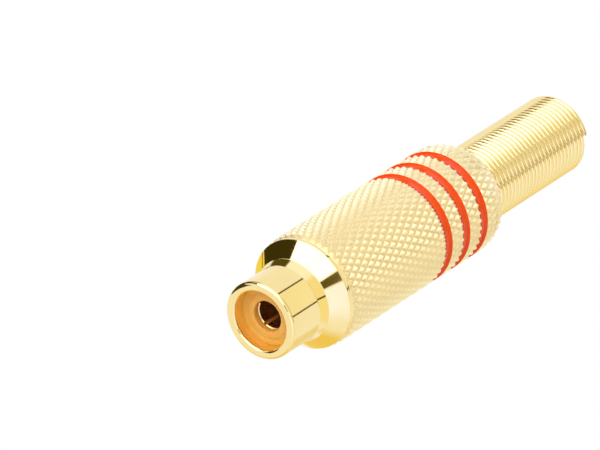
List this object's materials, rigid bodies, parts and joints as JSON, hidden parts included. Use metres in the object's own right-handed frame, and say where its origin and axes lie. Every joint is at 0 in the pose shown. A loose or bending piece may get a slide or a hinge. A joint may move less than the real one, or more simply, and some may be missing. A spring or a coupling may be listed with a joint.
{
  "type": "inline rca socket",
  "caption": "Inline phono socket with a knurled screw sleeve, enamelled bands and a coiled cable guard, for joining an audio plug to a cable.",
  "frame": {"origin": "centre of the mating face, which is the mouth's rim and the lowest plane of the part", "axes": "+Z along the common axis, from the mouth to the cable end; +X towards the ground lug's strip and cable cradle"},
  "size_m": [0.0122, 0.0122, 0.0519],
  "materials": {
    "gold_turned": "gold plated, turned and polished",
    "gold_knurled": "gold plated diamond knurl",
    "gold_wire": "gold plated drawn wire",
    "contact_gold": "gold plated",
    "tinned_sheet": "tin plated",
    "amber_insulator": "moulded, slightly translucent",
    "fibre_board": "pressed fibre",
    "clear_film": "clear flexible tube",
    "red_enamel": "glossy enamel paint"
  },
  "bodies": {
    "jack": {"jack_body": "gold_turned", "mouth_insulator": "amber_insulator", "centre_contact": "contact_gold", "insulating_washer": "fibre_board", "ground_lug": "tinned_sheet"},
    "tube": {"insulating_tube": "clear_film"},
    "coil": {"cable_coil": "gold_wire"},
    "sleeve": {"knurled_sleeve": "gold_knurled", "ring_front": "red_enamel", "ring_middle": "red_enamel", "ring_rear": "red_enamel"}
  },
  "joints": [
    {"name": "sleeve_draw_off", "type": "slide", "parent": "jack", "child": "tube", "axis": [0, 0, 1], "range_m": [0, 0.022]},
    {"name": "sleeve_back_off", "type": "slide", "parent": "tube", "child": "coil", "axis": [0, 0, 1], "range_m": [0, 0.0055]},
    {"name": "sleeve_unscrew", "type": "hinge", "parent": "coil", "child": "sleeve", "pos_m": [0, 0, 0.01], "axis": [0, 0, 1], "range_deg": [0, 2628]}
  ],
  "couplings": [
    {"joint": "sleeve_back_off", "follows": "sleeve_unscrew", "m_per_rad": 0.00011937}
  ]
}
